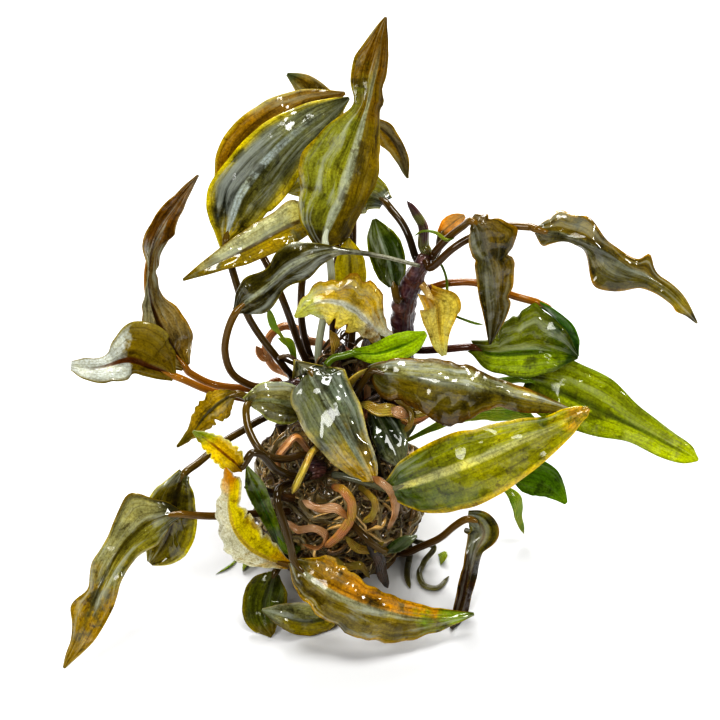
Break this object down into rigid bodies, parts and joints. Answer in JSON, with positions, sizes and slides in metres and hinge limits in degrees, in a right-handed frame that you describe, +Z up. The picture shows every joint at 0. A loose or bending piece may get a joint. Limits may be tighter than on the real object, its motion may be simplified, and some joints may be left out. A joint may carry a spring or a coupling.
{
  "type": "cryptocoryne",
  "caption": "Clump of a rosette water plant standing on its own ball of matted roots, with stalked lance-shaped leaves, creeping rhizomes and strap roots.",
  "frame": {"origin": "centre of the root ball's flat underside, on the surface the plant stands on", "axes": "+Z up along the root ball's axis; +Y towards the back of the plant; +X to the right as seen from the front"},
  "size_m": [0.1903, 0.1276, 0.1607],
  "materials": {
    "olive_leaf": "wet and glossy",
    "yellow_leaf": "wet and glossy",
    "grey_green_leaf": "wet and glossy, with a silvery sheen",
    "brown_leaf": "wet and glossy",
    "bright_green_leaf": "wet and glossy",
    "dark_green_leaf": "wet and glossy",
    "pale_leaf": "limp and wet",
    "rhizome": "wet, smooth bark-like skin",
    "strap_root": "wet and fleshy",
    "root_mat": "wet matted fibres"
  },
  "bodies": {
    "root": {"root_ball": "root_mat", "rhizome_left": "rhizome", "rhizome_right": "rhizome", "crown_front": "rhizome", "shoot_spear": "rhizome", "stalk_cut_front": "yellow_leaf", "stalk_cut_left": "brown_leaf", "root_pink_loop": "strap_root", "root_pink_strap": "strap_root", "root_orange_strap": "strap_root", "root_orange_front": "strap_root", "root_yellow_front": "strap_root", "root_peach_left": "strap_root", "root_floor_inner": "strap_root", "root_floor_outer": "strap_root", "leaf_top": "olive_leaf", "leaf_grey_left": "grey_green_leaf", "leaf_back_orange": "yellow_leaf", "leaf_pointed_left": "olive_leaf", "leaf_crossing": "grey_green_leaf", "leaf_tall_left": "brown_leaf", "leaf_curled_left": "olive_leaf", "leaf_small_left": "olive_leaf", "leaf_long_lower": "olive_leaf", "leaf_spoon_left": "grey_green_leaf", "leaf_kinked": "yellow_leaf", "leaf_yellow_front": "yellow_leaf", "leaf_narrow_green": "bright_green_leaf", "leaf_centre_grey": "grey_green_leaf", "leaf_grey_lobe": "grey_green_leaf", "leaf_dark_right": "olive_leaf", "leaf_big_front_right": "yellow_leaf", "leaf_big_right": "bright_green_leaf", "leaf_green_middle": "bright_green_leaf", "leaf_edge_on": "bright_green_leaf", "leaf_hanging_brown": "brown_leaf", "leaf_far_right": "brown_leaf", "leaf_bottom_front": "yellow_leaf", "leaf_dark_lower": "dark_green_leaf", "leaf_lower_front": "grey_green_leaf", "leaf_twisted_right": "olive_leaf", "leaf_young_green": "bright_green_leaf", "leaf_green_tip": "bright_green_leaf", "leaf_pale_old": "pale_leaf", "leaf_pale_sheath": "pale_leaf", "leaf_dark_centre": "dark_green_leaf", "leaf_tip_behind": "olive_leaf", "leaf_curling_behind": "brown_leaf", "leaf_knee": "yellow_leaf", "leaf_dark_upright": "dark_green_leaf", "leaf_yellow_behind": "yellow_leaf", "leaf_withered_stub": "yellow_leaf", "leaf_small_dark": "dark_green_leaf", "leaf_back_low_left": "olive_leaf", "leaf_back_low_right": "dark_green_leaf"}
  },
  "joints": []
}
